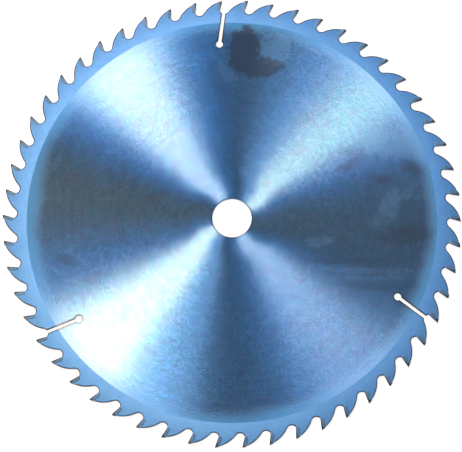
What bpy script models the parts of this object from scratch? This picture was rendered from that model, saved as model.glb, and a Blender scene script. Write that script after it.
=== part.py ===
"""Circular saw blade for wood: a toothed steel plate with a carbide tip brazed into every tooth.

The blade lies flat, with its arbor axis on +Z and its origin at the centre of the bore, halfway through
the plate. Seen from above it cuts clockwise. Lengths are metres and angles are radians.

Each tooth is drawn in a frame of its own. Its x runs out along the radius through the cutting corner,
and its y runs back from that corner, against the cut, so the gullet in front of a tooth has negative y.
"""
import math

import bmesh
import bpy
from mathutils import Matrix, Vector

# Plate
BLADE_DIAMETER = 0.350
BORE_DIAMETER = 0.030
PLATE_THICKNESS = 0.0025
TOOTH_COUNT = 54
FIRST_TOOTH_ANGLE = math.radians(6.95)

# Carbide tips
KERF_WIDTH = 0.0035
TIP_LENGTH = 0.0085
TIP_THICKNESS = 0.0028
HOOK_ANGLE = math.radians(15)
TOP_CLEARANCE = math.radians(10)
TOP_BEVEL = math.radians(10)
SIDE_CLEARANCE = math.radians(1)
FACE_CLEARANCE = math.radians(2.5)
BACK_TAPER = math.radians(3)
HEEL_CHAMFER = 0.0007
BRAZE_GAP = 0.0003
GRINDING_STOCK = 0.0005

# Steel teeth and gullets
GULLET_BELOW_SEAT = 0.00245
GULLET_RADIUS = 0.0038
BACK_RADIUS = 0.023

# Expansion slots
SLOT_COUNT = 3
FIRST_SLOT_GULLET = 13
SLOT_LENGTH = 0.029
SLOT_WIDTH = 0.0025
SLOT_LEAN = math.radians(9.5)
SLOT_HOLE_DIAMETER = 0.0056

# Facets
BORE_SEGMENTS = 96
SLOT_HOLE_SEGMENTS = 24
GULLET_SEGMENTS = 9
BACK_SEGMENTS = 7
CREASE_ANGLE = math.radians(30)
CUTTER_OVERLAP = 0.002

# Finishes: linear red, green and blue, then roughness
STEEL_FINISH = ((0.16, 0.37, 0.72), 0.35)
CARBIDE_FINISH = ((0.07, 0.10, 0.15), 0.30)


def turned(point, angle):
    """A flat point or direction turned about the blade's centre."""
    return Matrix.Rotation(angle, 2) @ point


def lines_meet(start, run, other, other_run):
    """The point where two straight lines in the plane of the blade cross."""
    share = (other - start).cross(other_run) / run.cross(other_run)
    return start + share * run


def arc_points(centre, start, end, segments, clockwise):
    """Points round centre that follow start, up to and with end."""
    first = math.atan2(start.y - centre.y, start.x - centre.x)
    last = math.atan2(end.y - centre.y, end.x - centre.x)
    sweep = (last - first) % math.tau
    if clockwise:
        sweep -= math.tau
    radius = (start - centre).length
    points = []
    for step in range(1, segments + 1):
        angle = first + sweep * step / segments
        points.append(centre + radius * Vector((math.cos(angle), math.sin(angle))))
    return points


def rake_directions():
    """Unit directions in a tooth's frame: down its rake face, and straight back from that face."""
    down = Vector((-math.cos(HOOK_ANGLE), math.sin(HOOK_ANGLE)))
    back = Vector((math.sin(HOOK_ANGLE), math.cos(HOOK_ANGLE)))
    return down, back


def seat_corners():
    """The notch that a tip is brazed into, from the front of its floor to the top of its back wall.

    Floor, corner and wall stay one braze gap clear of the tip, and the wall leans as the tip's back does.
    It ends level with the low side of the tip's bevelled top, so the steel never stands above the carbide.
    """
    corner = Vector((BLADE_DIAMETER / 2, 0.0))
    down, back = rake_directions()
    front = corner + (TIP_LENGTH + BRAZE_GAP) * down
    wall_start = corner + (TIP_THICKNESS + BRAZE_GAP / math.cos(BACK_TAPER)) * back
    wall_run = (down - math.tan(BACK_TAPER) * back).normalized()
    inner = lines_meet(front, back, wall_start, wall_run)
    chamfer = HEEL_CHAMFER + (2 - math.sqrt(2)) * BRAZE_GAP

    low_top = corner - Vector((KERF_WIDTH * math.tan(TOP_BEVEL), 0.0))
    top_run = Vector((-math.tan(TOP_CLEARANCE), 1.0))
    heel = lines_meet(wall_start, wall_run, low_top, top_run)
    return front, inner - chamfer * back, inner - chamfer * wall_run, heel


def gullet_centre(seat_front):
    """Centre of the round gullet in front of a tooth, whose arc starts at the front of the tip's seat."""
    radius = seat_front.length - GULLET_BELOW_SEAT + GULLET_RADIUS
    along = (seat_front.length ** 2 + radius ** 2 - GULLET_RADIUS ** 2) / (2 * seat_front.length)
    ahead = math.sqrt(radius ** 2 - along ** 2)
    outward = seat_front.normalized()
    return along * outward + ahead * Vector((outward.y, -outward.x))


def back_centre(heel, gullet):
    """Centre of the tooth's back, an arc from the heel that flows into the arc of the gullet behind it."""
    span = heel - gullet
    reach = GULLET_RADIUS + BACK_RADIUS
    along = (span.length ** 2 + reach ** 2 - BACK_RADIUS ** 2) / (2 * span.length)
    inward = math.sqrt(reach ** 2 - along ** 2)
    outward = span.normalized()
    return gullet + along * outward + inward * Vector((outward.y, -outward.x))


def tooth_outline():
    """One pitch of the steel edge in a tooth's frame: seat, back, then the gullet behind the tooth."""
    seat = seat_corners()
    pitch = math.tau / TOOTH_COUNT
    front, heel = seat[0], seat[-1]
    gullet = turned(gullet_centre(front), pitch)
    back = back_centre(heel, gullet)
    flow = gullet + GULLET_RADIUS * (back - gullet).normalized()
    points = list(seat)
    points += arc_points(back, heel, flow, BACK_SEGMENTS, clockwise=False)
    points += arc_points(gullet, flow, turned(front, pitch), GULLET_SEGMENTS, clockwise=True)[:-1]
    return points


def plate_outline():
    """The whole toothed edge of the plate."""
    points = []
    for number in range(TOOTH_COUNT):
        points += [turned(point, tooth_angle(number)) for point in tooth_outline()]
    return points


def bore_outline():
    """The round arbor hole."""
    points = []
    for step in range(BORE_SEGMENTS):
        points.append(turned(Vector((BORE_DIAMETER / 2, 0.0)), math.tau * step / BORE_SEGMENTS))
    return points


def tooth_angle(number):
    """Angle from +X to the cutting corner of a tooth, counted counter-clockwise from the first."""
    return FIRST_TOOTH_ANGLE + math.tau * number / TOOTH_COUNT


def make_material(name, finish):
    """A plain metal."""
    colour, roughness = finish
    material = bpy.data.materials.new(name)
    material.use_nodes = True
    shader = material.node_tree.nodes["Principled BSDF"]
    shader.inputs["Base Color"].default_value = (*colour, 1.0)
    shader.inputs["Metallic"].default_value = 1.0
    shader.inputs["Roughness"].default_value = roughness
    material.diffuse_color = (*colour, 1.0)
    return material


def make_collection(name):
    """A new collection in the scene."""
    collection = bpy.data.collections.new(name)
    bpy.context.scene.collection.children.link(collection)
    return collection


def add_object(name, mesh, collection):
    """An object for a mesh, in its collection."""
    obj = bpy.data.objects.new(name, mesh)
    collection.objects.link(obj)
    return obj


def mesh_from(bm, name):
    """A closed mesh from bmesh data, with its faces pointing out."""
    bmesh.ops.recalc_face_normals(bm, faces=bm.faces)
    mesh = bpy.data.meshes.new(name)
    bm.to_mesh(mesh)
    bm.free()
    return mesh


def extruded_outlines(name, outlines, thickness):
    """A flat plate with the first outline as its edge and the others as holes."""
    curve = bpy.data.curves.new(name, "CURVE")
    curve.dimensions = "2D"
    curve.fill_mode = "BOTH"
    curve.extrude = thickness / 2
    for outline in outlines:
        spline = curve.splines.new("POLY")
        spline.points.add(len(outline) - 1)
        for spline_point, point in zip(spline.points, outline):
            spline_point.co = (point.x, point.y, 0.0, 1.0)
        spline.use_cyclic_u = True
    drawn = bpy.data.objects.new(name, curve)
    bpy.context.scene.collection.objects.link(drawn)
    evaluated = drawn.evaluated_get(bpy.context.evaluated_depsgraph_get())
    loose = bpy.data.meshes.new_from_object(evaluated)

    bm = bmesh.new()
    bm.from_mesh(loose)
    bmesh.ops.remove_doubles(bm, verts=bm.verts, dist=thickness / 1000)
    mesh = mesh_from(bm, name)
    bpy.data.objects.remove(drawn)
    bpy.data.curves.remove(curve)
    bpy.data.meshes.remove(loose)
    return mesh


def shade_walls_smooth(mesh):
    """Round walls are smooth between their creases, and the two faces of the plate are flat."""
    mesh.shade_smooth()
    mesh.set_sharp_from_angle(angle=CREASE_ANGLE)
    for polygon in mesh.polygons:
        if abs(polygon.normal.z) > math.cos(CREASE_ANGLE):
            polygon.use_smooth = False


def add_cutter(name, bm, position, angle, cutters):
    """A wire object that takes its own shape out of the plate."""
    cutter = add_object(name, mesh_from(bm, name), cutters)
    shade_walls_smooth(cutter.data)
    cutter.location = (position.x, position.y, 0.0)
    cutter.rotation_euler.z = angle
    cutter.display_type = "WIRE"
    cutter.hide_render = True


def add_slot_cutters(number, cutters):
    """One expansion slot: a straight saw cut that starts in a gullet and ends in a round stress hole."""
    gullet_number = FIRST_SLOT_GULLET + round(number * TOOTH_COUNT / SLOT_COUNT)
    mouth = turned(gullet_centre(seat_corners()[0]), tooth_angle(gullet_number))
    inward = turned(-mouth.normalized(), -SLOT_LEAN)
    angle = math.atan2(inward.y, inward.x)
    height = PLATE_THICKNESS + 2 * CUTTER_OVERLAP

    cut = bmesh.new()
    size = Matrix.Diagonal((SLOT_LENGTH, SLOT_WIDTH, height, 1.0))
    bmesh.ops.create_cube(cut, size=1.0, matrix=size)
    add_cutter(f"slot_cutter_{number + 1}", cut, mouth + inward * SLOT_LENGTH / 2, angle, cutters)

    hole = bmesh.new()
    radius = SLOT_HOLE_DIAMETER / 2
    bmesh.ops.create_cone(
        hole, cap_ends=True, segments=SLOT_HOLE_SEGMENTS, radius1=radius, radius2=radius, depth=height
    )
    hole_angle = angle + math.pi / SLOT_HOLE_SEGMENTS
    add_cutter(f"slot_hole_cutter_{number + 1}", hole, mouth + inward * SLOT_LENGTH, hole_angle, cutters)


def add_plate(parts, cutters):
    """The steel body: toothed edge and bore as one flat outline, then the expansion slots cut out."""
    mesh = extruded_outlines("blade_body", [plate_outline(), bore_outline()], PLATE_THICKNESS)
    shade_walls_smooth(mesh)
    plate = add_object("blade_body", mesh, parts)
    mesh.materials.append(make_material("blade_steel", STEEL_FINISH))
    for number in range(SLOT_COUNT):
        add_slot_cutters(number, cutters)
    slots = plate.modifiers.new("expansion slots", "BOOLEAN")
    slots.operation = "DIFFERENCE"
    slots.solver = "EXACT"
    slots.operand_type = "COLLECTION"
    slots.collection = cutters


def grind(bm, point, outward):
    """Take away what lies outside a plane, and close the solid with a ground face."""
    geometry = bm.verts[:] + bm.edges[:] + bm.faces[:]
    cut = bmesh.ops.bisect_plane(bm, geom=geometry, plane_co=point, plane_no=outward, clear_outer=True)
    edges = [item for item in cut["geom_cut"] if isinstance(item, bmesh.types.BMEdge)]
    bmesh.ops.contextual_create(bm, geom=edges)


def tip_mesh(name, high_side):
    """One carbide tip, with its origin at the cutting corner on the mid-plane.

    A pressed rectangular blank is ground to shape. The blank's own rake face and foot stay, and the top
    falls away behind the cutting edge and towards one side. high_side is +1 when the upper corner leads.
    """
    flat_down, flat_back = rake_directions()
    down = flat_down.to_3d()
    back = flat_back.to_3d()
    across = Vector((0.0, 0.0, 1.0))
    half_kerf = KERF_WIDTH / 2 * across

    length = TIP_LENGTH + GRINDING_STOCK
    width = KERF_WIDTH + 2 * GRINDING_STOCK
    blank = Matrix.Identity(4)
    blank.col[0].xyz = length * down
    blank.col[1].xyz = TIP_THICKNESS * back
    blank.col[2].xyz = width * across
    blank.translation = (length / 2 - GRINDING_STOCK) * down + TIP_THICKNESS / 2 * back
    bm = bmesh.new()
    bmesh.ops.create_cube(bm, size=1.0, matrix=blank)

    bevel = -high_side * math.tan(TOP_BEVEL)
    grind(bm, high_side * half_kerf, Vector((1.0, math.tan(TOP_CLEARANCE), bevel)))
    side_lean = math.tan(SIDE_CLEARANCE) * down + math.tan(FACE_CLEARANCE) * back
    grind(bm, half_kerf, side_lean + across)
    grind(bm, -half_kerf, side_lean - across)
    grind(bm, TIP_THICKNESS * back, back + math.tan(BACK_TAPER) * down)
    foot_thickness = TIP_THICKNESS - TIP_LENGTH * math.tan(BACK_TAPER)
    grind(bm, (TIP_LENGTH - HEEL_CHAMFER) * down + foot_thickness * back, down + back)
    return mesh_from(bm, name)


def add_tips(parts):
    """The carbide tips, with the top bevel to the upper and the lower side by turns."""
    carbide = make_material("carbide", CARBIDE_FINISH)
    upper = tip_mesh("tip_bevelled_from_above", 1)
    lower = tip_mesh("tip_bevelled_from_below", -1)
    upper.materials.append(carbide)
    lower.materials.append(carbide)
    for number in range(TOOTH_COUNT):
        tip = add_object(f"carbide_tip_{number + 1:02d}", (upper, lower)[number % 2], parts)
        angle = tooth_angle(number)
        corner = turned(Vector((BLADE_DIAMETER / 2, 0.0)), angle)
        tip.location = (corner.x, corner.y, 0.0)
        tip.rotation_euler.z = angle


def main():
    for obj in list(bpy.data.objects):
        bpy.data.objects.remove(obj)
    parts = make_collection("circular_saw_blade")
    cutters = make_collection("cutters")
    add_plate(parts, cutters)
    add_tips(parts)


main()
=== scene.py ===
# %% [markdown]
# # A circular saw blade with carbide tips
# The object is one flat steel plate, 350 mm across, with a hole for the saw's arbor, three slots that
# let the rim grow when it gets hot, and 54 teeth. Each tooth carries a small block of tungsten carbide,
# brazed into a seat that was milled for it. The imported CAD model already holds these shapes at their
# true size, so this script gives them what CAD leaves out: the finish that each tool left on the steel,
# the small radius on its edges, the braze in the joints, and a studio that shows all of it.

# %%
import math

import bmesh
import bpy
import numpy as np
from mathutils import Matrix, Vector
from mathutils.geometry import delaunay_2d_cdt


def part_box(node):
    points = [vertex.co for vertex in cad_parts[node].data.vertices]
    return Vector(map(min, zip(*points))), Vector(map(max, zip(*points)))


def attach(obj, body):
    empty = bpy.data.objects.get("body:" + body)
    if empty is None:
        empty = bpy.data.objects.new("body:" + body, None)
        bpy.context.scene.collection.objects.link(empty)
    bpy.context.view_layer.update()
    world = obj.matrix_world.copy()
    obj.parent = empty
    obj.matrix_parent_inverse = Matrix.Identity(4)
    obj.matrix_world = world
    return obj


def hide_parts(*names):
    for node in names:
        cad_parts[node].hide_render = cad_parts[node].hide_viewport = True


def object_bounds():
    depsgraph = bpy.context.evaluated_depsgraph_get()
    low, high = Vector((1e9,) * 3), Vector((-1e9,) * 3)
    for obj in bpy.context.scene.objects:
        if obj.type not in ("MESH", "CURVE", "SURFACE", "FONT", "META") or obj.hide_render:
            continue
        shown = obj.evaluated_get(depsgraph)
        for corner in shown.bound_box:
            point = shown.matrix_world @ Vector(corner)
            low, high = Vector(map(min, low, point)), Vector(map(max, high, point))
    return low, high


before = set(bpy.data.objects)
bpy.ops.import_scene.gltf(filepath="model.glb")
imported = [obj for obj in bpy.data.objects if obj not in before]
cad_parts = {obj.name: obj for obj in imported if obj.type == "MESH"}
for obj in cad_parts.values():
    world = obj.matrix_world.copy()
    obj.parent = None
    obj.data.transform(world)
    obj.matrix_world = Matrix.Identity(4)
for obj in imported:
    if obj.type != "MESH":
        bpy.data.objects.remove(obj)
cad_box = [list(corner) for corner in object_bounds()]
plate_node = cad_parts["blade_body"]
tip_nodes = [node for name, node in sorted(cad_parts.items()) if name.startswith("carbide_tip")]
print("CAD nodes:", len(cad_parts), "of which carbide tips:", len(tip_nodes))

# %% [markdown]
# ## The camera
# The blade lies flat, and the camera looks down on it from a little over a metre, slightly from the
# front. A long lens keeps the circle nearly round. A camera could be aimed with a Track To constraint,
# but a position and an aiming point, turned into a rotation once, are easier to read and never move.

# %%
CAMERA_PLACE = Vector((0.00684, -0.30151, 1.32779))
CAMERA_AIM = Vector((-0.00060, -0.00607, 0.0))
CAMERA_ROLL = math.radians(-0.3276)
LENS_MM = 138.98
SENSOR_MM = 36.0
FAR_CLIP = 100.0

camera_data = bpy.data.cameras.new("camera")
camera_data.lens = LENS_MM
camera_data.sensor_width = SENSOR_MM
camera_data.clip_end = FAR_CLIP
camera = bpy.data.objects.new("camera", camera_data)
bpy.context.scene.collection.objects.link(camera)
camera_turn = (CAMERA_AIM - CAMERA_PLACE).to_track_quat("-Z", "Y").to_matrix().to_4x4()
camera.matrix_world = Matrix.Translation(CAMERA_PLACE) @ camera_turn @ Matrix.Rotation(CAMERA_ROLL, 4, "Z")
bpy.context.scene.camera = camera
bpy.context.scene.view_settings.view_transform = "Standard"
print("camera distance from the bore:", round(CAMERA_PLACE.length, 3), "m")

# %% [markdown]
# ## Softboxes placed by the streaks that they make
# A grinding wheel leaves fine circular grooves in the disc, and grooves reflect a lamp as a bright
# fan that runs along a radius. The fan lies where the direction halfway between the lamp and the
# camera points along that radius. So each softbox is placed backwards: from the radius where its fan
# should lie, and from the direction of the camera, comes the direction of the lamp. Trying lamp
# positions by hand would reach the same place, only more slowly.
#
# A real fan is nearly white in the middle and runs through clear blue into the dark steel. One lamp
# would give it a single colour, so a fan is built from narrow warm lamps, which turn blue steel white,
# and a wide cool one behind them, whose light is seen only at the fan's two sides. No two lamps share
# one direction exactly, because lamps in the same plane hide each other.

# %%
LAMP_DISTANCE = 1.4
LAMP_LENGTH = 0.4
TO_CAMERA = CAMERA_PLACE.normalized()


def softbox(name, streak_deg, reach, span_deg, power, colour):
    """A lamp whose streak runs along the given radius and is span_deg wide. A lamp with more reach
    stands lower, and its streak fades more from one side of the disc to the other."""
    along = Vector((math.cos(math.radians(streak_deg)), math.sin(math.radians(streak_deg)), 0.0))
    to_lamp = reach * along - Vector((TO_CAMERA.x, TO_CAMERA.y, 0.0))
    to_lamp.z = math.sqrt(1.0 - to_lamp.x ** 2 - to_lamp.y ** 2)
    data = bpy.data.lights.new(name, "AREA")
    data.shape = "RECTANGLE"
    data.size = 2.0 * reach * math.tan(math.radians(span_deg) / 2.0) * LAMP_DISTANCE
    data.size_y = LAMP_LENGTH
    data.energy = power
    data.color = colour
    lamp = bpy.data.objects.new(name, data)
    bpy.context.scene.collection.objects.link(lamp)
    across = along.cross(to_lamp).normalized()
    up = to_lamp.cross(across)
    turn = Matrix((across, up, to_lamp)).transposed().to_4x4()
    lamp.matrix_world = Matrix.Translation(to_lamp * LAMP_DISTANCE) @ turn
    lamp.visible_camera = False
    print(name, "stands at", [round(x, 2) for x in lamp.location], "and is", round(data.size, 3), "m wide")


SOFTBOXES = [
    # name, streak in degrees, reach, span in degrees, power in watts, colour
    ("softbox_left", 224.0, 0.40, 25.0, 5.4, (1.0, 0.55, 0.35)),
    ("softbox_left_core", 225.5, 0.40, 21.0, 4.8, (1.0, 0.32, 0.0)),
    ("softbox_left_near", 240.0, 0.40, 14.0, 0.80, (1.0, 0.82, 0.62)),
    ("softbox_left_side", 252.0, 0.40, 14.0, 0.66, (1.0, 0.85, 0.80)),
    ("softbox_left_far", 180.0, 0.28, 38.0, 0.37, (1.0, 0.33, 0.0)),
    ("softbox_left_wide", 218.0, 0.40, 56.0, 0.9, (0.0, 0.55, 1.0)),
    ("softbox_back", 128.0, 0.40, 26.0, 5.4, (1.0, 0.55, 0.30)),
    ("softbox_back_core", 129.5, 0.40, 19.0, 1.9, (1.0, 0.12, 0.0)),
    ("softbox_back_side", 133.0, 0.58, 26.0, 6.5, (1.0, 0.56, 0.40)),
    ("softbox_back_wide", 127.0, 0.40, 54.0, 1.7, (0.14, 0.62, 1.0)),
    ("softbox_right", 40.0, 0.40, 14.0, 0.95, (1.0, 0.83, 0.40)),
    ("softbox_right_wide", 43.5, 0.40, 44.0, 1.0, (0.0, 0.46, 1.0)),
    ("softbox_front", 306.0, 0.40, 28.0, 0.5, (0.0, 0.56, 1.0)),
]
for row in SOFTBOXES:
    softbox(*row)

# %% [markdown]
# ## The room and the floor
# Away from the lamps the studio is dim, and the steel shows that as its dark sectors. The floor is a
# white sweep: a disc that turns up into a low wall far away, so that a camera near the ground also
# sees white behind the blade. A little emission, for camera and glossy rays only, lifts the floor to
# paper white without putting more light on the blade, and its diffuse part still takes the shadow.

# %%
ROOM_COLOUR = (0.235, 0.190, 0.190)
FLOOR_Z = cad_box[0][2]
FLOOR_SHADE = 0.40
FLOOR_GLOW = 0.80

world = bpy.data.worlds.new("dim_room")
world.use_nodes = True
world.node_tree.nodes["Background"].inputs["Color"].default_value = (*ROOM_COLOUR, 1.0)
bpy.context.scene.world = world


def floor_mesh(flat_radius=5.0, bend=1.0, steps=8, around=96):
    """The sweep's rings, from one vertex in the middle, out over the bend and up."""
    rings = [(flat_radius * 0.05, 0.0), (flat_radius * 0.3, 0.0), (flat_radius, 0.0)]
    for step in range(1, steps + 1):
        angle = math.pi / 2.0 * step / steps
        rings.append((flat_radius + bend * math.sin(angle), bend * (1.0 - math.cos(angle))))
    vertices = [(0.0, 0.0, FLOOR_Z)]
    for radius, height in rings:
        for i in range(around):
            turn = math.tau * i / around
            vertices.append((radius * math.cos(turn), radius * math.sin(turn), FLOOR_Z + height))
    faces = [(0, 1 + i, 1 + (i + 1) % around) for i in range(around)]
    for ring in range(len(rings) - 1):
        a, b = 1 + ring * around, 1 + (ring + 1) * around
        for i in range(around):
            j = (i + 1) % around
            faces.append((a + i, b + i, b + j, a + j))
    mesh = bpy.data.meshes.new("floor")
    mesh.from_pydata(vertices, [], faces)
    mesh.shade_smooth()
    return mesh


floor = bpy.data.objects.new("floor", floor_mesh())
bpy.context.scene.collection.objects.link(floor)
print("floor faces:", len(floor.data.polygons))

# %% [markdown]
# ## Short helpers for shader nodes
# Nodes could be wired one line at a time with nodes.new and links.new. These few helpers do the same
# with less to read: a socket given as an input is linked, and a plain value is set.

# %%


def put(tree, socket, value):
    """Links a socket to the input, or sets the input to a plain value."""
    if isinstance(value, bpy.types.NodeSocket):
        tree.links.new(value, socket)
    else:
        socket.default_value = value


def node(tree, kind, inputs=None, **settings):
    """A new node of that kind, with its settings and its inputs by name or number."""
    made = tree.nodes.new(kind)
    for key, value in settings.items():
        setattr(made, key, value)
    for key, value in (inputs or {}).items():
        put(tree, made.inputs[key], value)
    return made


def calc(tree, operation, *values):
    """One step of arithmetic."""
    return node(tree, "ShaderNodeMath", dict(enumerate(values)), operation=operation).outputs[0]


def vector_calc(tree, operation, *values):
    """One step of arithmetic with vectors that gives a vector."""
    return node(tree, "ShaderNodeVectorMath", dict(enumerate(values)), operation=operation).outputs[0]


def remap(tree, value, low, high, to_low=0.0, to_high=1.0):
    """Stretches low..high to to_low..to_high with soft ends."""
    inputs = {"Value": value, "From Min": low, "From Max": high, "To Min": to_low, "To Max": to_high}
    return node(tree, "ShaderNodeMapRange", inputs, interpolation_type="SMOOTHSTEP").outputs["Result"]


def noise(tree, vector, scale, detail=2.0, roughness=0.5, distortion=0.0):
    """Cloudy noise from 0 to 1. Distortion bends it by more noise."""
    inputs = {"Vector": vector, "Scale": scale, "Detail": detail}
    inputs.update({"Roughness": roughness, "Distortion": distortion})
    return node(tree, "ShaderNodeTexNoise", inputs).outputs["Fac"]


def blend(tree, share, first, second):
    """A colour that goes from first to second with share."""
    made = node(tree, "ShaderNodeMix", data_type="RGBA")
    put(tree, made.inputs[0], share)
    put(tree, made.inputs[6], first)
    put(tree, made.inputs[7], second)
    return made.outputs[2]


def layered(tree, colour, layers):
    """The colour under layers that each have a mask, the mask's share and a colour."""
    for mask, share, over in layers:
        colour = blend(tree, calc(tree, "MULTIPLY", mask, share), colour, over)
    return colour


def weighted(tree, start, masks):
    """The start value plus each mask times its share."""
    for mask, share in masks:
        start = calc(tree, "MULTIPLY_ADD", mask, share, start)
    return start


def place_of(tree):
    """Where a point is on the object, in metres from the middle of the bore."""
    return node(tree, "ShaderNodeTexCoord").outputs["Object"]


def radius_of(tree, place):
    """How far a point is from the bore's axis, in metres."""
    flat = vector_calc(tree, "MULTIPLY", place, (1.0, 1.0, 0.0))
    return node(tree, "ShaderNodeVectorMath", {0: flat}, operation="LENGTH").outputs["Value"]


def near_edge_of(tree):
    """The mesh's own mask, 1 on an edge and 0 a little way in from it."""
    return node(tree, "ShaderNodeAttribute", attribute_name="near_edge").outputs["Fac"]


def bump(tree, height, depth, normal=None):
    """Relief of that depth in metres, on top of any relief so far."""
    made = node(tree, "ShaderNodeBump", {"Height": height, "Distance": depth, "Strength": 1.0})
    if normal is not None:
        put(tree, made.inputs["Normal"], normal)
    return made.outputs["Normal"]


def new_material(name):
    """A material with its tree and its Principled shader."""
    material = bpy.data.materials.new(name)
    material.use_nodes = True
    print("material made:", name)
    return material, material.node_tree, material.node_tree.nodes["Principled BSDF"]


def set_metal(tree, shader, colour, roughness, normal, metallic=1.0):
    """Sets what every metal has: its colour, roughness and relief."""
    put(tree, shader.inputs["Base Color"], colour)
    put(tree, shader.inputs["Metallic"], metallic)
    put(tree, shader.inputs["Roughness"], roughness)
    put(tree, shader.inputs["Normal"], normal)


def new_group(name, inputs, outputs):
    """An empty shader group with named sockets: its tree, its input sockets and its output node."""
    tree = bpy.data.node_groups.new(name, "ShaderNodeTree")
    for label, kind, value in inputs:
        socket = tree.interface.new_socket(label, in_out="INPUT", socket_type=kind)
        if value is not None:
            socket.default_value = value
    for label in outputs:
        tree.interface.new_socket(label, in_out="OUTPUT", socket_type="NodeSocketFloat")
    print("group made:", name)
    return tree, tree.nodes.new("NodeGroupInput").outputs, tree.nodes.new("NodeGroupOutput")


def use(tree, group, **inputs):
    """Places a group in a material's tree and gives back its outputs."""
    made = tree.nodes.new("ShaderNodeGroup")
    made.node_tree = group
    for key, value in inputs.items():
        put(tree, made.inputs[key.replace("_", " ")], value)
    return made.outputs


# %% [markdown]
# ## Effect: the rings of a grinding wheel
# The plate spins under the wheel, so every scratch follows a circle round the bore. A wave texture
# would give rings that all look alike. Noise gives rings of every strength if it is sampled finely
# along the radius and slowly round the circle. The direction from the bore is used instead of an
# angle, so that the pattern has no seam. The steel's disc and its rim use this group.

# %%
FLOAT, VECTOR = "NodeSocketFloat", "NodeSocketVector"

rings_group, given, result = new_group(
    "Grinding Rings",
    [("Place", VECTOR, None), ("Spacing", FLOAT, 0.0004), ("Changes Round", FLOAT, 6.0)],
    ["Height", "Shade"],
)
t = rings_group
radius = radius_of(t, given["Place"])
flat = vector_calc(t, "MULTIPLY", given["Place"], (1.0, 1.0, 0.0))
heading = vector_calc(t, "NORMALIZE", flat)
parts = node(t, "ShaderNodeSeparateXYZ", {0: heading}).outputs
ring = calc(t, "DIVIDE", radius, given["Spacing"])
ring_place = node(
    t,
    "ShaderNodeCombineXYZ",
    {
        0: ring,
        1: calc(t, "MULTIPLY", parts[0], given["Changes Round"]),
        2: calc(t, "MULTIPLY", parts[1], given["Changes Round"]),
    },
).outputs[0]
ring_noise = noise(t, ring_place, 1.0, detail=3.0, roughness=0.65)
put(t, result.inputs["Height"], ring_noise)
put(t, result.inputs["Shade"], remap(t, ring_noise, 0.3, 0.7))

# %% [markdown]
# ## Effect: handling marks
# A blade that was handled has thin films of oil and wiped fingerprints, small specks and faint curly
# scuffs. The films are large, soft and irregular, so they come from noise that is bent by more noise.
# The specks are the few highest peaks of a much finer noise, and the scuffs are the thin lines where
# a bent noise crosses its middle value. Painting a mask by hand would do it too, but it would need an
# image, and noise follows the part at any size.

# %%
handling_group, given, result = new_group(
    "Handling Marks",
    [
        ("Place", VECTOR, None),
        ("Film Size", FLOAT, 0.03),
        ("Speck Size", FLOAT, 0.002),
        ("Scuff Size", FLOAT, 0.006),
    ],
    ["Film", "Specks", "Scuffs"],
)
t = handling_group
film_scale = calc(t, "DIVIDE", 1.0, given["Film Size"])
speck_scale = calc(t, "DIVIDE", 1.0, given["Speck Size"])
film_noise = noise(t, given["Place"], film_scale, 4.0, 0.55, distortion=1.2)
put(t, result.inputs["Film"], remap(t, film_noise, 0.42, 0.72))
put(t, result.inputs["Specks"], remap(t, noise(t, given["Place"], speck_scale, 1.0), 0.72, 0.80))
scuff_scale = calc(t, "DIVIDE", 1.0, given["Scuff Size"])
scuff_noise = noise(t, given["Place"], scuff_scale, 1.5, 0.6, distortion=1.5)
from_middle = calc(t, "ABSOLUTE", calc(t, "SUBTRACT", scuff_noise, 0.5))
put(t, result.inputs["Scuffs"], remap(t, from_middle, 0.055, 0.01))

# %% [markdown]
# ## Effect: a fine even grain
# Blasting with fine grit and sintering a powder both leave an even grain with no direction. Plain
# noise at the size of the grain is enough. The rim, the cut walls and the carbide use it.

# %%
grain_group, given, result = new_group(
    "Fine Grain",
    [("Place", VECTOR, None), ("Grain Size", FLOAT, 0.0004)],
    ["Height", "Shade"],
)
t = grain_group
grain_noise = noise(t, given["Place"], calc(t, "DIVIDE", 1.0, given["Grain Size"]), 2.0, 0.6)
put(t, result.inputs["Height"], grain_noise)
put(t, result.inputs["Shade"], remap(t, grain_noise, 0.3, 0.7))

# %% [markdown]
# ## Effect: one wipe of a finger or a rag
# A few marks on the disc are single strokes with a place of their own. Each is a soft bow: the place
# is moved and turned into the stroke's own frame, the bow is straightened, and the distance from its
# line gives the mask, broken up by noise. Core is the share of the stroke that is at full strength, so
# a larger one gives a harder border. One group serves every stroke and every stain on the part, and the
# patch of painted reflection beside the top slot.

# %%
STROKE_END = 1.2

wipe_group, given, result = new_group(
    "Wiped Stroke",
    [
        ("Place", VECTOR, None),
        ("Centre", VECTOR, (0.0, 0.0, 0.0)),
        ("Turn", VECTOR, (0.0, 0.0, 0.0)),
        ("Half Length", FLOAT, 0.02),
        ("Half Width", FLOAT, 0.004),
        ("Bow", FLOAT, 0.0),
        ("Raggedness", FLOAT, 0.5),
        ("Core", FLOAT, 0.5),
    ],
    ["Mask"],
)
t = wipe_group
moved = vector_calc(t, "SUBTRACT", given["Place"], given["Centre"])
turned = node(
    t,
    "ShaderNodeVectorRotate",
    {"Vector": moved, "Rotation": given["Turn"]},
    rotation_type="EULER_XYZ",
    invert=True,
).outputs[0]
local = node(t, "ShaderNodeSeparateXYZ", {0: turned}).outputs
along = calc(t, "DIVIDE", local[0], given["Half Length"])
along_squared = calc(t, "MULTIPLY", along, along)
bowed = calc(t, "SUBTRACT", local[1], calc(t, "MULTIPLY", along_squared, given["Bow"]))
across = calc(t, "DIVIDE", bowed, given["Half Width"])
rough_edge = calc(t, "SUBTRACT", noise(t, given["Place"], 160.0, 3.0, 0.6), 0.5)
reach = calc(t, "SQRT", weighted(t, along_squared, [(across, across)]))
reach = weighted(t, reach, [(rough_edge, given["Raggedness"])])
put(t, result.inputs["Mask"], remap(t, reach, STROKE_END, given["Core"]))
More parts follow.
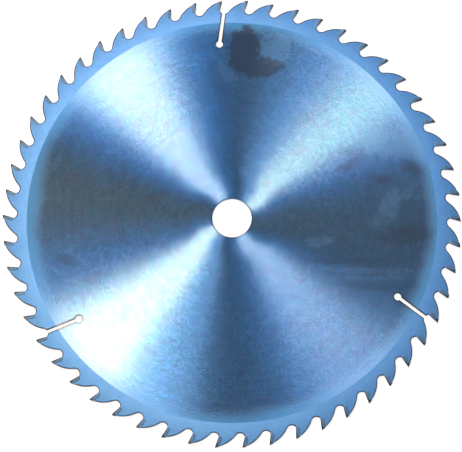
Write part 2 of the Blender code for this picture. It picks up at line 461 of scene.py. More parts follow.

# %% [markdown]
# ## Effect: painted edge shade
# Along every cut a dark line is painted into the colour. It is painted shade, standing in for the shadow
# and dark reflection along the edges and walls. The meshes carry a mask named near_edge, and this group
# breaks that mask up so that the line isn't even.

# %%
edge_shade_group, given, result = new_group(
    "Painted Edge Shade",
    [("Place", VECTOR, None), ("Near Edge", FLOAT, 0.0), ("Patch Size", FLOAT, 0.004)],
    ["Mask"],
)
t = edge_shade_group
patches = noise(t, given["Place"], calc(t, "DIVIDE", 1.0, given["Patch Size"]), 2.0, 0.5)
strength = remap(t, patches, 0.25, 0.6, 0.65, 1.0)
put(t, result.inputs["Mask"], calc(t, "MULTIPLY", remap(t, given["Near Edge"], 0.0, 0.25), strength))

# %% [markdown]
# ## The ground disc
# Inside the teeth the plate is ground bright. Its shader is a metal whose reflection is stretched
# across the grooves: the Tangent node gives the direction round the bore, and full anisotropy keeps
# the reflection narrow along the groove. The rings change the colour and roughness a little and give
# a fine relief. A slow wave in the relief stands for the hammered tension of the plate, which makes
# the edges of the bright fans wander.
#
# Near the rim the blasting grit also reached the disc. There a part of the surface is matte: it gets
# less Metallic, so it scatters the room's light and turns a clear, paler blue. A slow noise moves the
# border of that zone in and out. Wiped strokes are matte in the same way, and dark stains cover both.
# The darkest patch, just right of the slot at the top, is painted reflection: the dark of the
# surroundings mirrored in the steel, painted into its colour along with the stains.
# Close to the bore the grooves turn a little out of the circle, where the wheel swung off the plate.

# %%
STEEL = (0.130, 0.368, 0.78, 1.0)
STEEL_PALE = (0.161, 0.425, 0.87, 1.0)
STEEL_DULL = (0.11, 0.23, 0.45, 1.0)
STEEL_TEAL = (0.08, 0.27, 0.44, 1.0)
STEEL_STAIN_AND_REFLECTION = (0.112, 0.18, 0.29, 1.0)
FROSTED = (0.058, 0.42, 1.0, 1.0)
FINGER_FILM = (0.095, 0.43, 0.95, 1.0)
SPECK = (0.22, 0.48, 0.85, 1.0)
EDGE_SHADE = (0.010, 0.028, 0.045, 1.0)
RIM_RADIUS = 0.1565
FROST_RADII = (0.1430, RIM_RADIUS)
FROST_WANDER = 0.016
SPIRAL_RADII = (0.040, 0.020)
SPIRAL_ANGLE = math.radians(9.0)
ACROSS_GROOVES = 0.25

# Marks on the plate, in degrees and millimetres.
MM = 0.001
SLOT_AZIMUTHS = (94.5, 214.5, 334.5)
SLOT_LEAN = 10.3
PALE_WIPES = [
    # azimuth and radius of the centre, direction, half length, half width, bow, strength, core
    (77.2, 140.0, 85.0, 12.0, 11.5, 0.0, 0.65, 0.95),
    (27.0, 135.3, 351.0, 38.0, 15.3, 0.0, 0.75, 0.30),
    (3.9, 118.8, 57.0, 21.0, 8.6, 4.0, 0.50, 0.50),
    (9.4, 135.7, 35.0, 13.0, 5.3, 3.0, 0.30, 0.40),
    (345.7, 69.1, 8.0, 13.0, 4.6, 1.0, 0.50, 0.45),
    (339.9, 114.2, 0.0, 46.6, 3.1, 2.0, 0.30, 0.40),
    (337.9, 118.6, 2.0, 36.0, 2.7, 2.0, 0.25, 0.40),
    (93.4, 115.5, 312.0, 14.0, 6.1, 2.0, 0.25, 0.30),
    (192.7, 126.4, 23.0, 9.0, 2.5, 3.0, 0.50, 0.40),
    (174.0, 145.0, 95.0, 7.0, 5.0, 0.0, 0.40, 0.40),
    (163.0, 141.0, 70.0, 9.0, 3.0, 2.0, 0.30, 0.40),
    (197.7, 140.0, 143.0, 11.0, 2.0, 2.5, 0.70, 0.10),
    (195.8, 121.0, 141.0, 8.0, 1.6, 1.0, 0.60, 0.10),
    (202.8, 131.5, 10.0, 7.0, 2.4, 0.0, 0.60, 0.10),
    (206.0, 141.0, 60.0, 10.0, 2.4, 1.5, 0.50, 0.10),
]
# The first two rows, just right of the slot at the top, are painted reflection: a dark patch of the
# surroundings mirrored in the disc, painted into its colour. The other rows are stains.
DARK_STAINS_AND_REFLECTION = [
    (87.0, 133.5, 90.0, 17.5, 11.8, 0.0, 1.00, 0.90),
    (80.3, 122.0, 4.0, 17.5, 8.0, 0.0, 1.00, 0.80),
    (97.6, 110.5, 287.0, 22.0, 6.9, 0.0, 0.40, 0.30),
    (17.2, 143.0, 334.0, 13.0, 6.6, 2.0, 0.70, 0.10),
    (15.8, 118.9, 343.0, 12.0, 5.8, 2.0, 0.65, 0.10),
    (26.0, 98.2, 30.0, 15.0, 4.6, 2.0, 0.60, 0.20),
    (355.6, 133.9, 6.0, 21.0, 9.2, 0.0, 0.55, 0.50),
    (340.8, 97.5, 2.0, 39.0, 3.1, 2.0, 0.40, 0.40),
    (335.1, 122.4, 0.0, 35.0, 3.1, 2.0, 0.40, 0.40),
    (195.5, 130.0, 160.0, 10.0, 5.0, 0.0, 0.55, 0.40),
]
SLOT_SMOKE = [
    (azimuth, 147.0, azimuth - SLOT_LEAN, 15.0, 3.6, 0.0, 1.0, 0.5) for azimuth in SLOT_AZIMUTHS
]


def strokes(tree, place, rows, raggedness):
    """All the strokes in rows as one mask, which takes the strongest where they cross."""
    mask = None
    for azimuth, radius, direction, half_length, half_width, bow, strength, core in rows:
        turn = math.radians(azimuth)
        one = use(
            tree,
            wipe_group,
            Place=place,
            Centre=(radius * MM * math.cos(turn), radius * MM * math.sin(turn), 0.0),
            Turn=(0.0, 0.0, math.radians(direction)),
            Half_Length=half_length * MM,
            Half_Width=half_width * MM,
            Bow=bow * MM,
            Raggedness=raggedness,
            Core=core,
        )["Mask"]
        one = calc(tree, "MULTIPLY", one, strength)
        mask = one if mask is None else calc(tree, "MAXIMUM", mask, one)
    return mask


ground_disc, t, shader = new_material("ground_disc")
place = place_of(t)
radius = radius_of(t, place)
fine = use(t, rings_group, Place=place, Spacing=0.0005, Changes_Round=9.0)
broad = use(t, rings_group, Place=place, Spacing=0.004, Changes_Round=5.0)
marks = use(t, handling_group, Place=place, Film_Size=0.035, Speck_Size=0.0025, Scuff_Size=0.007)
edge = use(t, edge_shade_group, Place=place, Near_Edge=near_edge_of(t))["Mask"]
wander = calc(t, "SUBTRACT", noise(t, place, 16.0), 0.5)
frosted = remap(t, weighted(t, radius, [(wander, FROST_WANDER)]), *FROST_RADII)
patchy = remap(t, noise(t, place, 90.0, 3.0), 0.25, 0.6, 0.45, 1.0)
wipes = calc(t, "MULTIPLY", strokes(t, place, PALE_WIPES, 1.2), patchy)
stains_and_reflection = strokes(t, place, DARK_STAINS_AND_REFLECTION, 1.1)
hairs = use(t, rings_group, Place=place, Spacing=0.0018, Changes_Round=50.0)["Shade"]
hairs = calc(t, "MULTIPLY", hairs, remap(t, frosted, 0.0, 1.0, 1.0, 0.0))
smoke = strokes(t, place, SLOT_SMOKE, 0.5)
scuffs = calc(t, "MULTIPLY", marks["Scuffs"], remap(t, noise(t, place, 45.0, 2.0), 0.35, 0.6))
clouds = remap(t, noise(t, place, 210.0, detail=3.0, roughness=0.65), 0.42, 0.62)
tint = noise(t, place, 170.0, detail=3.0)
dull = blend(t, remap(t, tint, 0.4, 0.6), STEEL_DULL, STEEL_TEAL)
colour = layered(
    t,
    blend(t, broad["Shade"], STEEL, STEEL_PALE),
    [
        (fine["Shade"], 0.25, dull),
        (clouds, 0.24, dull),
        (marks["Film"], 0.22, dull),
        (frosted, 0.94, FROSTED),
        (scuffs, 0.55, FINGER_FILM),
        (wipes, 0.7, FINGER_FILM),
        # stains, and the painted reflection of a dark patch beside the top slot
        (stains_and_reflection, 0.85, STEEL_STAIN_AND_REFLECTION),
        (hairs, 0.48, dull),
        (smoke, 0.45, STEEL_STAIN_AND_REFLECTION),
        (marks["Specks"], 0.4, SPECK),
        # painted shade: a dark line along the cut edges
        (edge, 0.8, EDGE_SHADE),
    ],
)
tension = noise(t, place, 22.0, detail=1.0)
normal = bump(t, tension, 4e-5)
ringed = calc(t, "SUBTRACT", 1.0, frosted)
normal = bump(t, calc(t, "MULTIPLY", broad["Height"], ringed), 4e-6, normal)
normal = bump(t, calc(t, "MULTIPLY", fine["Height"], ringed), 1.2e-6, normal)
roughness = remap(t, fine["Shade"], 0.0, 1.0, 0.235, 0.265)
roughness = weighted(t, roughness, [(frosted, 0.04), (wipes, 0.08)])
matte = weighted(t, 0.0, [(frosted, 0.64), (wipes, 0.28), (scuffs, 0.06), (marks["Film"], 0.02)])
matte = calc(t, "MULTIPLY", matte, weighted(t, 1.0, [(stains_and_reflection, -0.8)]))
set_metal(t, shader, colour, roughness, normal, metallic=calc(t, "SUBTRACT", 1.0, matte))
put(t, shader.inputs["Specular IOR Level"], 1.0)
put(t, shader.inputs["IOR"], 1.65)
put(t, shader.inputs["Anisotropic"], 1.0)
put(t, shader.inputs["Anisotropic Rotation"], ACROSS_GROOVES)
groove = node(t, "ShaderNodeTangent", direction_type="RADIAL", axis="Z").outputs[0]
spiral = remap(t, radius, *SPIRAL_RADII, 0.0, SPIRAL_ANGLE)
groove = node(
    t, "ShaderNodeVectorRotate", {"Vector": groove, "Angle": spiral}, rotation_type="Z_AXIS"
).outputs[0]
put(t, shader.inputs["Tangent"], groove)

# %% [markdown]
# ## The matte rim
# From a little inside the gullets outwards the steel was blasted after the tips were brazed, which
# cleans off flux and scale. It looks the same from every side, so it is a rough metal with a fine grain
# and almost no trace of the rings. Towards the teeth it gets a little darker, where brazing heated it.

# %%
RIM = (0.116, 0.392, 0.87, 1.0)
RIM_DARK = (0.070, 0.290, 0.72, 1.0)
HEATED = (0.050, 0.200, 0.51, 1.0)
HEATED_RADII = (0.156, 0.172)

blasted_rim, t, shader = new_material("blasted_rim")
place = place_of(t)
grain = use(t, grain_group, Place=place, Grain_Size=0.0007)
marks = use(t, handling_group, Place=place, Film_Size=0.02, Speck_Size=0.0015)
faint_rings = use(t, rings_group, Place=place, Spacing=0.0012, Changes_Round=30.0)
edge = use(t, edge_shade_group, Place=place, Near_Edge=near_edge_of(t))["Mask"]
colour = layered(
    t,
    RIM,
    [
        (grain["Shade"], 0.4, RIM_DARK),
        (marks["Film"], 0.4, RIM_DARK),
        (faint_rings["Shade"], 0.25, RIM_DARK),
        (remap(t, radius_of(t, place), *HEATED_RADII), 0.6, HEATED),
        # painted shade: a dark line along the cut edges
        (edge, 0.95, EDGE_SHADE),
    ],
)
roughness = remap(t, grain["Shade"], 0.0, 1.0, 0.48, 0.58)
set_metal(t, shader, colour, roughness, bump(t, grain["Height"], 3e-5))

# %% [markdown]
# ## The cut walls and the bore
# A laser cuts the outline, and its beam leaves fine lines from face to face and a darker skin. The
# noise is squeezed along the blade's thickness to draw those lines. The bore is ground to size, so it
# is brighter, with rings round its axis.

# %%
WALL = (0.075, 0.12, 0.19, 1.0)
WALL_PALE = (0.16, 0.25, 0.38, 1.0)

laser_cut_wall, t, shader = new_material("laser_cut_wall")
place = place_of(t)
squeezed = vector_calc(t, "MULTIPLY", place, (1.0, 1.0, 0.06))
beam = noise(t, squeezed, 3500.0, detail=2.0)
grain = use(t, grain_group, Place=place, Grain_Size=0.0008)
colour = layered(t, WALL, [(grain["Shade"], 0.7, WALL_PALE)])
set_metal(t, shader, colour, remap(t, beam, 0.3, 0.7, 0.40, 0.55), bump(t, beam, 3e-5))

ground_bore, t, shader = new_material("ground_bore")
place = place_of(t)
stretched = vector_calc(t, "MULTIPLY", place, (0.08, 0.08, 1.0))
honing = noise(t, stretched, 6000.0, detail=2.0)
colour = blend(t, honing, STEEL, STEEL_DULL)
set_metal(t, shader, colour, remap(t, honing, 0.3, 0.7, 0.24, 0.36), bump(t, honing, 1e-5))

# %% [markdown]
# ## Tungsten carbide and braze
# Carbide is a sintered powder, ground with a diamond wheel. It is darker than the rim, with a very
# fine grain. Along its cutting edges a near-black line of painted shade is laid into the colour. The
# braze is a silver alloy that flowed into the joint, so its surface is soft and uneven, and blasting
# left it close to the rim in colour.

# %%
CARBIDE = (0.070, 0.185, 0.35, 1.0)
CARBIDE_PALE = (0.102, 0.262, 0.49, 1.0)
CUTTING_EDGE_SHADE = (0.010, 0.022, 0.030, 1.0)
BRAZE = (0.07, 0.20, 0.38, 1.0)
BRAZE_PALE = (0.12, 0.30, 0.52, 1.0)

carbide, t, shader = new_material("ground_carbide")
place = place_of(t)
grain = use(t, grain_group, Place=place, Grain_Size=0.00035)
cloud = noise(t, place, 90.0, detail=2.0)
edge = use(t, edge_shade_group, Place=place, Near_Edge=near_edge_of(t), Patch_Size=0.002)["Mask"]
colour = blend(t, remap(t, cloud, 0.3, 0.7), CARBIDE, CARBIDE_PALE)
# the cutting edges get a near-black line of painted shade
colour = layered(t, colour, [(grain["Shade"], 0.4, CARBIDE), (edge, 0.9, CUTTING_EDGE_SHADE)])
roughness = remap(t, grain["Shade"], 0.0, 1.0, 0.50, 0.62)
set_metal(t, shader, colour, roughness, bump(t, grain["Height"], 1.2e-5))

braze, t, shader = new_material("silver_braze")
place = place_of(t)
flow = noise(t, place, 1200.0, detail=2.0)
colour = blend(t, flow, BRAZE, BRAZE_PALE)
set_metal(t, shader, colour, remap(t, flow, 0.3, 0.7, 0.45, 0.60), bump(t, flow, 6e-5))

# %% [markdown]
# ## The floor's paper white
# The floor's diffuse part is a pale grey with faint clouds, and it takes light and shadow. The glow is
# added only where a camera or glossy ray looks at it.

# %%
FLOOR_CLOUDS = 0.02

paper, t, shader = new_material("paper_white")
cloud = noise(t, place_of(t), 3.0)
pale = (FLOOR_SHADE, FLOOR_SHADE, FLOOR_SHADE, 1.0)
paler = tuple(c + FLOOR_CLOUDS for c in pale[:3]) + (1.0,)
put(t, shader.inputs["Base Color"], blend(t, cloud, pale, paler))
put(t, shader.inputs["Roughness"], 0.9)
put(t, shader.inputs["Specular IOR Level"], 0.0)
rays = node(t, "ShaderNodeLightPath").outputs
seen = calc(t, "MAXIMUM", rays["Is Camera Ray"], rays["Is Glossy Ray"])
seen = calc(t, "MAXIMUM", seen, rays["Is Transmission Ray"])
glow = node(t, "ShaderNodeEmission", {"Strength": calc(t, "MULTIPLY", seen, FLOOR_GLOW)}).outputs[0]
both = node(t, "ShaderNodeAddShader", {0: shader.outputs[0], 1: glow}).outputs[0]
put(t, t.nodes["Material Output"].inputs["Surface"], both)
floor.data.materials.append(paper)

# %% [markdown]
# ## The plate's outline, read off the CAD model
# The CAD node has the exact outline, but its edges are knife sharp and its whole surface is one
# material. The plate shown here is built again from that outline: the edges of the top face that
# belong to one triangle only are its border, and walking along them gives the two loops, the toothed
# outside with its slots and the bore.

# %%
GRID_PER_METRE = 1e7


def border_loops(mesh):
    """The closed borders of the mesh's top face as arrays of x, y. The face is on the left."""
    points = np.array([v.co for v in mesh.vertices])
    keys = [tuple(k) for k in np.round(points * GRID_PER_METRE).astype(int)]
    index, spots = {}, []
    for key, point in zip(keys, points):
        if key not in index:
            index[key] = len(spots)
            spots.append(point)
    top = max(p[2] for p in spots)
    onward = {}
    mesh.calc_loop_triangles()
    for triangle in mesh.loop_triangles:
        corners = [index[keys[i]] for i in triangle.vertices]
        if all(abs(spots[i][2] - top) * GRID_PER_METRE < 1.0 for i in corners):
            for a, b in zip(corners, corners[1:] + corners[:1]):
                onward[(a, b)] = True
    border = {a: b for a, b in onward if (b, a) not in onward}
    loops = []
    while border:
        here, walk = next(iter(border)), []
        while here in border:
            walk.append(spots[here][:2])
            here = border.pop(here)
        loops.append(np.array(walk))
    return sorted(loops, key=len, reverse=True)


outside, bore = border_loops(plate_node.data)
HALF_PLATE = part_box("blade_body")[1].z
print("outline points:", len(outside), "bore points:", len(bore), "half thickness:", round(HALF_PLATE, 5))

# %% [markdown]
# ## Where the matte rim begins
# Blasting stops at a clean circle, so the plate's face is divided there. The slots cross that circle.
# A point is set into the outline at each crossing, so that the circle can join it without a gap.

# %%
HALVINGS = 40


def with_crossings(loop, radius):
    """The loop with a point added wherever it crosses that radius, and the numbers of those points."""
    out, crossings = [], []
    for a, b in zip(loop, np.roll(loop, -1, axis=0)):
        out.append(a)
        ra, rb = np.hypot(*a) - radius, np.hypot(*b) - radius
        if ra * rb < 0.0:
            low, high = 0.0, 1.0
            for _ in range(HALVINGS):
                middle = (low + high) / 2.0
                r = np.hypot(*(a + (b - a) * middle)) - radius
                low, high = (middle, high) if r * ra > 0.0 else (low, middle)
            crossings.append(len(out))
            out.append(a + (b - a) * low)
    return np.array(out), crossings


outside, crossings = with_crossings(outside, RIM_RADIUS)
print("points where the slots cross the rim's circle:", len(crossings))

# %% [markdown]
# ## Where the tips sit
# Each tip stands in a seat cut into the outline, with a gap of 0.3 mm for the braze. Two things need to
# know which outline points belong to a seat: the braze seam, which follows them, and the painted edge
# shade, which leaves them out, because brazing metal fills that edge. They are found by their distance
# from the tip's own outline.

# %%
SEAT_REACH = 0.0005
TIP_SURROUNDINGS = 0.012


def outline_of(tip):
    """The convex outline of a tip seen from above, counter-clockwise."""
    points = sorted({(round(v.co.x, 7), round(v.co.y, 7)) for v in tip.data.vertices})
    chains = []
    for order in (points, points[::-1]):
        chain = []
        for p in order:
            while len(chain) > 1:
                (ax, ay), (bx, by) = chain[-2], chain[-1]
                if (bx - ax) * (p[1] - ay) - (by - ay) * (p[0] - ax) > 0.0:
                    break
                chain.pop()
            chain.append(p)
        chains += chain[:-1]
    return np.array(chains)


def nearest_on(loop, point):
    """The closest point of a closed loop."""
    a, b = loop, np.roll(loop, -1, axis=0)
    share = np.clip(np.sum((point - a) * (b - a), axis=1) / np.sum((b - a) ** 2, axis=1), 0.0, 1.0)
    spots = a + (b - a) * share[:, None]
    return spots[np.argmin(np.linalg.norm(spots - point, axis=1))]


def nearby(loop):
    """The numbers of the outline points close to a tip, in order along the outline."""
    middle = loop.mean(axis=0)
    numbers = np.nonzero(np.linalg.norm(outside - middle, axis=1) < TIP_SURROUNDINGS)[0]
    if numbers.max() - numbers.min() > len(outside) / 2:
        numbers = np.array(sorted(numbers, key=lambda n: (n + len(outside) // 2) % len(outside)))
    return numbers


def seat_numbers(tip):
    """The numbers of the outline points that lie right across the gap from a tip, in order."""
    loop = outline_of(tip)
    numbers = nearby(loop)
    distance = np.array([np.linalg.norm(nearest_on(loop, p) - p) for p in outside[numbers]])
    return numbers[distance < SEAT_REACH]


seat_points = {int(n) for tip in tip_nodes for n in seat_numbers(tip)}
print("outline points in the seats:", len(seat_points))

# %% [markdown]
# ## Rounded edges
# No real plate has a perfectly sharp edge: deburring leaves a small radius, and that radius is what
# catches the light along each tooth. A Bevel modifier would do it too, but here the profile is swept
# along the outline by hand, because the loops are already in order, and the exact normals are known.
# They keep the large face optically flat, which its long reflections need.

# %%
EDGE_RADIUS = 0.00015
BORE_CHAMFER = 0.0003
ROUND_STEPS = 3
CREASE = math.radians(32.0)
EDGE_FADE = 0.0007
DISC, RIM_BAND, WALLS, BORE_WALL = range(4)


def edge_profile(size):
    """Inset, height and tilt of each level from the top face over the radius, down and under."""
    upper = []
    for step in range(ROUND_STEPS + 1):
        tilt = math.pi / 2.0 * step / ROUND_STEPS
        upper.append((size * (1.0 - math.sin(tilt)), HALF_PLATE - size * (1.0 - math.cos(tilt)), tilt))
    lower = [(inset, -height, math.pi - tilt) for inset, height, tilt in reversed(upper)]
    return upper + lower


def outward_normals(loop):
    """For each edge of the loop, the outward normals at its two ends, shared where the loop is smooth."""
    ahead = np.roll(loop, -1, axis=0) - loop
    ahead /= np.linalg.norm(ahead, axis=1)[:, None]
    out = np.stack([ahead[:, 1], -ahead[:, 0]], axis=1)
    before = np.roll(out, 1, axis=0)
    shared = out + before
    shared /= np.linalg.norm(shared, axis=1)[:, None]
    smooth = np.sum(out * before, axis=1) > math.cos(CREASE)
    start = np.where(smooth[:, None], shared, out)
    shared_next, smooth_next = np.roll(shared, -1, axis=0), np.roll(smooth, -1)
    end = np.where(smooth_next[:, None], shared_next, out)
    miter = (out + before) / (1.0 + np.sum(out * before, axis=1))[:, None]
    return start, end, miter


class Shell:
    """Collects vertices and faces with a normal for every corner and a material for every face."""

    def __init__(self):
        self.vertices, self.faces, self.normals, self.materials = [], [], [], []
        self.edge_points = set()

    def face(self, corners, normals, material):
        self.faces.append(corners)
        self.normals.extend(normals)
        self.materials.append(material)

    def sweep(self, loop, size, material, unmarked=()):
        """The wall of one loop with its rounded edges, where unmarked points get no painted edge shade.
        Gives the first vertex of its top and bottom rim."""
        start, end, miter = outward_normals(loop)
        base, count = len(self.vertices), len(loop)
        levels = edge_profile(size)
        for inset, height, _ in levels:
            self.vertices.extend((x, y, height) for x, y in loop - miter * inset)
        for level in range(len(levels) - 1):
            over, under = levels[level][2], levels[level + 1][2]
            for i in range(count):
                j = (i + 1) % count
                a, b = base + level * count, base + (level + 1) * count
                tilts = ((start[i], over), (start[i], under), (end[i], under), (end[i], over))
                normals = [(*(out * math.sin(tilt)), math.cos(tilt)) for out, tilt in tilts]
                self.face((a + i, b + i, b + j, a + j), normals, material)
        wall = range(base, len(self.vertices))
        self.edge_points.update(n for n in wall if (n - base) % count not in unmarked)
        return base, base + (len(levels) - 1) * count

    def border(self, loop, size, first, up):
        """A narrow flat band inside one loop, over which the near_edge mask fades.
        Gives its first inner vertex."""
        miter = outward_normals(loop)[2]
        base, count = len(self.vertices), len(loop)
        height = self.vertices[first][2]
        self.vertices.extend((x, y, height) for x, y in loop - miter * (size + EDGE_FADE))
        for i in range(count):
            j = (i + 1) % count
            corners = (first + i, first + j, base + j, base + i)
            middle = np.mean([self.vertices[n][:2] for n in corners], axis=0)
            material = DISC if np.hypot(*middle) < RIM_RADIUS else RIM_BAND
            self.face(corners if up else corners[::-1], [(0.0, 0.0, 1.0 if up else -1.0)] * 4, material)
        return base


shell = Shell()
outer_top, outer_bottom = shell.sweep(outside, EDGE_RADIUS, WALLS, seat_points)
bore_top, bore_bottom = shell.sweep(bore, BORE_CHAMFER, BORE_WALL)
outer_top = shell.border(outside, EDGE_RADIUS, outer_top, True)
outer_bottom = shell.border(outside, EDGE_RADIUS, outer_bottom, False)
bore_top = shell.border(bore, BORE_CHAMFER, bore_top, True)
bore_bottom = shell.border(bore, BORE_CHAMFER, bore_bottom, False)
print("wall and border faces:", len(shell.faces))

# %% [markdown]
# ## The two faces of the plate
# A face with holes can't be one polygon. Constrained Delaunay triangulation fills it and keeps every
# border edge, and it also keeps the circle where the rim begins. Rings of loose points in between
# stop it from making long thin triangles.

# %%
RING_RADII = (0.03, 0.055, 0.085, 0.115, 0.138, 0.149)
RING_POINTS = 120
RING_CLEARANCE = 0.002
SLOT_ARC = math.radians(5.0)


def inside(points, loop):
    """Which points lie inside the loop, by counting how often a ray to the right crosses it."""
    a, b = loop, np.roll(loop, -1, axis=0)
    result = np.zeros(len(points), bool)
    for (ax, ay), (bx, by) in zip(a, b):
        if ay != by:
            crosses = (points[:, 1] >= min(ay, by)) & (points[:, 1] < max(ay, by))
            x_at = ax + (points[:, 1] - ay) * (bx - ax) / (by - ay)
            result ^= crosses & (points[:, 0] < x_at)
    return result


def circle_arcs(points, numbers):
    """Pairs of crossing points with steel between them. An arc under SLOT_ARC is a slot's mouth."""
    angle = {n: math.atan2(points[n][1], points[n][0]) % math.tau for n in numbers}
    order = sorted(numbers, key=angle.get)
    arcs = []
    for a, b in zip(order, order[1:] + order[:1]):
        swept = (angle[b] - angle[a]) % math.tau
        if swept > SLOT_ARC:
            arcs.append((a, b, angle[a], swept))
    return arcs


def fill_face(shell, outer_first, bore_first, up):
    """Adds the flat face that joins the two loops, with the disc and the rim as two materials."""
    count, hole = len(outside), len(bore)
    joined = [outer_first + i for i in range(count)] + [bore_first + i for i in range(hole)]
    points = [Vector(shell.vertices[i][:2]) for i in joined]
    edges = [(i, (i + 1) % count) for i in range(count)]
    edges += [(count + i, count + (i + 1) % hole) for i in range(hole)]
    height = shell.vertices[outer_first][2]
    for a, b, first, swept in circle_arcs(points, crossings):
        steps = max(2, round(math.degrees(swept)))
        chain = [a]
        for step in range(1, steps):
            turn = first + swept * step / steps
            chain.append(len(points))
            points.append(Vector((RIM_RADIUS * math.cos(turn), RIM_RADIUS * math.sin(turn))))
        chain.append(b)
        edges += zip(chain, chain[1:])
    outer_loop = np.array([p[:] for p in points[:count]])
    loose = []
    for k, radius in enumerate(RING_RADII):
        for i in range(RING_POINTS):
            turn = math.tau * (i + 0.5 * (k % 2)) / RING_POINTS
            loose.append((radius * math.cos(turn), radius * math.sin(turn)))
    loose = np.array(loose)
    near = np.min(np.linalg.norm(loose[:, None] - outer_loop[None], axis=2), axis=1)
    keep = inside(loose, outer_loop) & (near > RING_CLEARANCE)
    points += [Vector(p) for p in loose[keep]]
    found, _, triangles, origins, _, _ = delaunay_2d_cdt(points, edges, [], 0, 1e-8)
    first_new = len(shell.vertices)
    shell.vertices.extend((p.x, p.y, height) for p in points[len(joined):])
    number = []
    for came_from in origins:
        original = came_from[0]
        number.append(joined[original] if original < len(joined) else first_new + original - len(joined))
    places = np.array([p[:] for p in found])
    centres = np.array([places[list(tri)].mean(axis=0) for tri in triangles])
    kept = inside(centres, outer_loop) & ~inside(centres, places[count : count + hole])
    for triangle, centre, good in zip(triangles, centres, kept):
        if not good:
            continue
        corners = [number[i] for i in triangle]
        a, b, c = (places[i] for i in triangle)
        turn = (b[0] - a[0]) * (c[1] - a[1]) - (b[1] - a[1]) * (c[0] - a[0])
        if (turn > 0.0) != up:
            corners.reverse()
        material = DISC if np.hypot(*centre) < RIM_RADIUS else RIM_BAND
        shell.face(tuple(corners), [(0.0, 0.0, 1.0 if up else -1.0)] * 3, material)
    return int(kept.sum())


top_faces = fill_face(shell, outer_top, bore_top, True)
bottom_faces = fill_face(shell, outer_bottom, bore_bottom, False)
print("triangles on the top and bottom face:", top_faces, bottom_faces)

# %%
plate_mesh = bpy.data.meshes.new("steel_plate")
plate_mesh.from_pydata(shell.vertices, [], shell.faces)
for material in (ground_disc, blasted_rim, laser_cut_wall, ground_bore):
    plate_mesh.materials.append(material)
plate_mesh.polygons.foreach_set("material_index", shell.materials)
near_edge = plate_mesh.attributes.new("near_edge", "FLOAT", "POINT")
near_edge.data.foreach_set("value", [float(i in shell.edge_points) for i in range(len(shell.vertices))])
plate_mesh.shade_smooth()
plate_mesh.normals_split_custom_set(shell.normals)
plate = bpy.data.objects.new("steel_plate", plate_mesh)
bpy.context.scene.collection.objects.link(plate)
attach(plate, "root")
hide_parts("blade_body")
print("plate:", len(plate_mesh.vertices), "vertices and", len(plate_mesh.polygons), "faces")

# %% [markdown]
# ## The carbide tips
# Each tip is ground flat on every side, so the CAD solid has the right faces, and only its edges are
# too perfect. A copy of its mesh is welded, its triangles are dissolved into whole faces, and the
# edges get a very small bevel. An inset on each face then carries the near_edge mask, which is left out
# beside the seat, so the painted edge shade follows the cutting edges only.

# %%
TIP_EDGE = 0.00004
TIP_FADE = 0.0011
TIP_SEAT_REACH = 0.0009
WELD = 1e-6
FLAT = math.radians(0.5)
LARGE_FACE = 1.2e-6


def put_in_order(elements):
    """Sorts vertices, edges or faces by place, because a bevel leaves them in a different order each run."""
    middle = {e: tuple(np.mean([v.co for v in getattr(e, "verts", [e])], axis=0).round(8)) for e in elements}
    ranked = sorted(elements, key=middle.get)
    elements.sort(key={element: number for number, element in enumerate(ranked)}.get)


def dressed_tip(tip):
    """A scene piece that stands for one CAD tip."""
    shape = bmesh.new()
    shape.from_mesh(tip.data)
    bmesh.ops.remove_doubles(shape, verts=shape.verts, dist=WELD)
    bmesh.ops.dissolve_limit(shape, angle_limit=FLAT, verts=shape.verts, edges=shape.edges)
    bmesh.ops.bevel(shape, geom=shape.edges, offset=TIP_EDGE, segments=1, affect="EDGES")
    large = [face for face in shape.faces if face.calc_area() > LARGE_FACE]
    bmesh.ops.inset_individual(shape, faces=large, thickness=TIP_FADE, use_even_offset=True)
    inner = {tuple(v.co) for face in large for v in face.verts}
    for elements in (shape.verts, shape.edges, shape.faces):
        put_in_order(elements)
    mesh = bpy.data.meshes.new(tip.name.replace("carbide_tip", "tip"))
    shape.to_mesh(mesh)
    shape.free()
    steel = outside[nearby(outline_of(tip))]
    marked = []
    for v in mesh.vertices:
        gap = np.linalg.norm(nearest_on(steel, np.array(v.co[:2])) - np.array(v.co[:2]))
        marked.append(float(tuple(v.co) not in inner and gap > TIP_SEAT_REACH))
    mask = mesh.attributes.new("near_edge", "FLOAT", "POINT")
    mask.data.foreach_set("value", marked)
    mesh.materials.clear()
    mesh.materials.append(carbide)
    piece = bpy.data.objects.new(mesh.name, mesh)
    bpy.context.scene.collection.objects.link(piece)
    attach(piece, "root")
    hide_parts(tip.name)
    return piece


tips = [dressed_tip(tip) for tip in tip_nodes]
print("tips:", len(tips), "with faces each:", len(tips[0].data.polygons))

# %% [markdown]
# ## The braze seams
# The CAD model leaves a gap of 0.3 mm between each tip and its seat, which is where the silver braze
# goes. Molten braze wets both sides and climbs the taller one, so its surface is a small hollow
# fillet. The seam follows the corners of the seat: for each of them the nearest point of the tip is
# found, and a cross-section is swept from the foot of the tip to its heel.

# %%
SEAM_STEPS = 4
SEAM_SEED = 54
SEAM_SPREAD = 0.00022
SEAM_CLIMB = 0.00016
SEAM_VARIES = (0.7, 1.2)
SEAM_SAG = 0.4
SEAM_FOOT = 0.000006
SEAM_SKIN = 0.00003
SEAM_CREASE = math.radians(50.0)


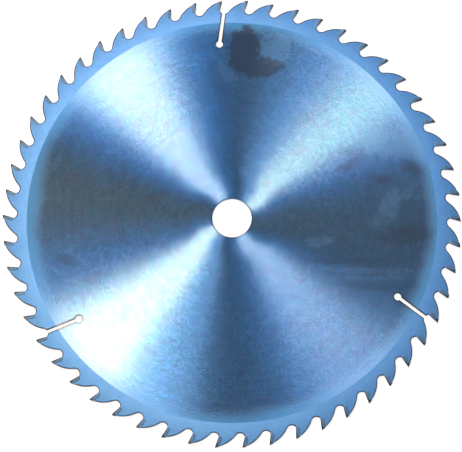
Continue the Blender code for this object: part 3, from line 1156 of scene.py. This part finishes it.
def seam_lines(tip):
    """The seat's corners and the points of the tip across the gap, from one end of the seam to the other."""
    loop, seat = outline_of(tip), outside[seat_numbers(tip)]
    fine = []
    for a, b in zip(seat, seat[1:]):
        fine += [a + (b - a) * k / SEAM_STEPS for k in range(SEAM_STEPS)]
    fine = np.array(fine + [seat[-1]])
    return fine, np.array([nearest_on(loop, p) for p in fine])


def add_seam(vertices, faces, tip, flow):
    """One seam's closed ribbon: eight points around, at every step along the seat."""
    seat, edge = seam_lines(tip)
    first, around = len(vertices), 8
    for p, q in zip(seat, edge):
        across = (q - p) / np.linalg.norm(q - p)
        spread, climb = SEAM_SPREAD * flow.uniform(*SEAM_VARIES), SEAM_CLIMB * flow.uniform(*SEAM_VARIES)
        rim, middle, wall = p - across * spread, (p + q) / 2.0, q + across * SEAM_SKIN
        heights = [(rim, SEAM_FOOT), (p, SEAM_SKIN), (middle, climb * SEAM_SAG), (wall, climb)]
        vertices.extend((x, y, HALF_PLATE + z) for (x, y), z in heights)
        vertices.extend((x, y, -HALF_PLATE - z) for (x, y), z in reversed(heights))
    for k in range(len(seat) - 1):
        a, b = first + k * around, first + (k + 1) * around
        for i in range(around):
            j = (i + 1) % around
            faces.append((a + i, a + j, b + j, b + i))
    last = first + (len(seat) - 1) * around
    faces.append(tuple(first + i for i in reversed(range(around))))
    faces.append(tuple(last + i for i in range(around)))


flow = np.random.default_rng(SEAM_SEED)
seam_vertices, seam_faces = [], []
for tip in tip_nodes:
    add_seam(seam_vertices, seam_faces, tip, flow)
seam_mesh = bpy.data.meshes.new("braze_seams")
seam_mesh.from_pydata(seam_vertices, [], seam_faces)
seam_shape = bmesh.new()
seam_shape.from_mesh(seam_mesh)
bmesh.ops.recalc_face_normals(seam_shape, faces=seam_shape.faces)
seam_shape.to_mesh(seam_mesh)
seam_shape.free()
seam_mesh.shade_smooth()
seam_mesh.set_sharp_from_angle(angle=SEAM_CREASE)
seam_mesh.materials.append(braze)
seams = bpy.data.objects.new("braze_seams", seam_mesh)
bpy.context.scene.collection.objects.link(seams)
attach(seams, "root")
print("braze seams:", len(tip_nodes), "with", len(seam_faces), "faces")
